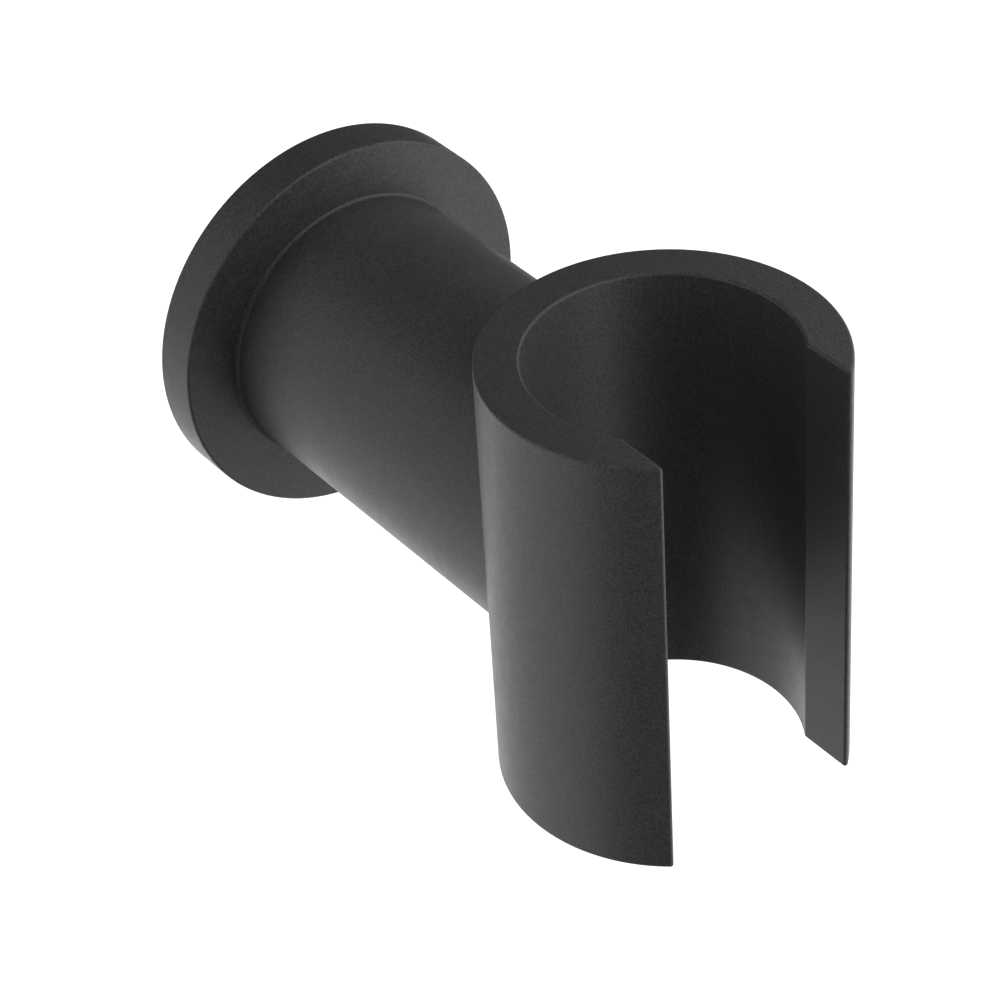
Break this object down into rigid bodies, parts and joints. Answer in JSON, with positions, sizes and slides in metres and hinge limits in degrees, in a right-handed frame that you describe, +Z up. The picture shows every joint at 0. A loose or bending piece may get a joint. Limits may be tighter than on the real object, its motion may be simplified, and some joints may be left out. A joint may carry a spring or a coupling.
{
  "type": "hand shower holder",
  "caption": "Wall holder for a hand shower: round rosette, straight round arm and an upright cradle tube with an open front, in matt black.",
  "frame": {"origin": "centre of the back face on the wall, where the arm's axis meets the wall plane", "axes": "+Y into the wall, -Y along the arm to the cradle, +Z up along the cradle's axis, +X to the right seen from the front"},
  "size_m": [0.035, 0.0592, 0.0404],
  "materials": {
    "matt_black_coating": "matte",
    "plate_steel": "satin",
    "post_brass": "satin",
    "screw_steel": "satin",
    "gasket_rubber": "matte"
  },
  "bodies": {
    "root": {"holder_body": "matt_black_coating", "rosette": "matt_black_coating", "wall_plate": "plate_steel", "wall_gasket": "gasket_rubber", "mounting_post": "post_brass", "post_screw": "screw_steel", "grub_screw": "screw_steel"}
  },
  "joints": []
}
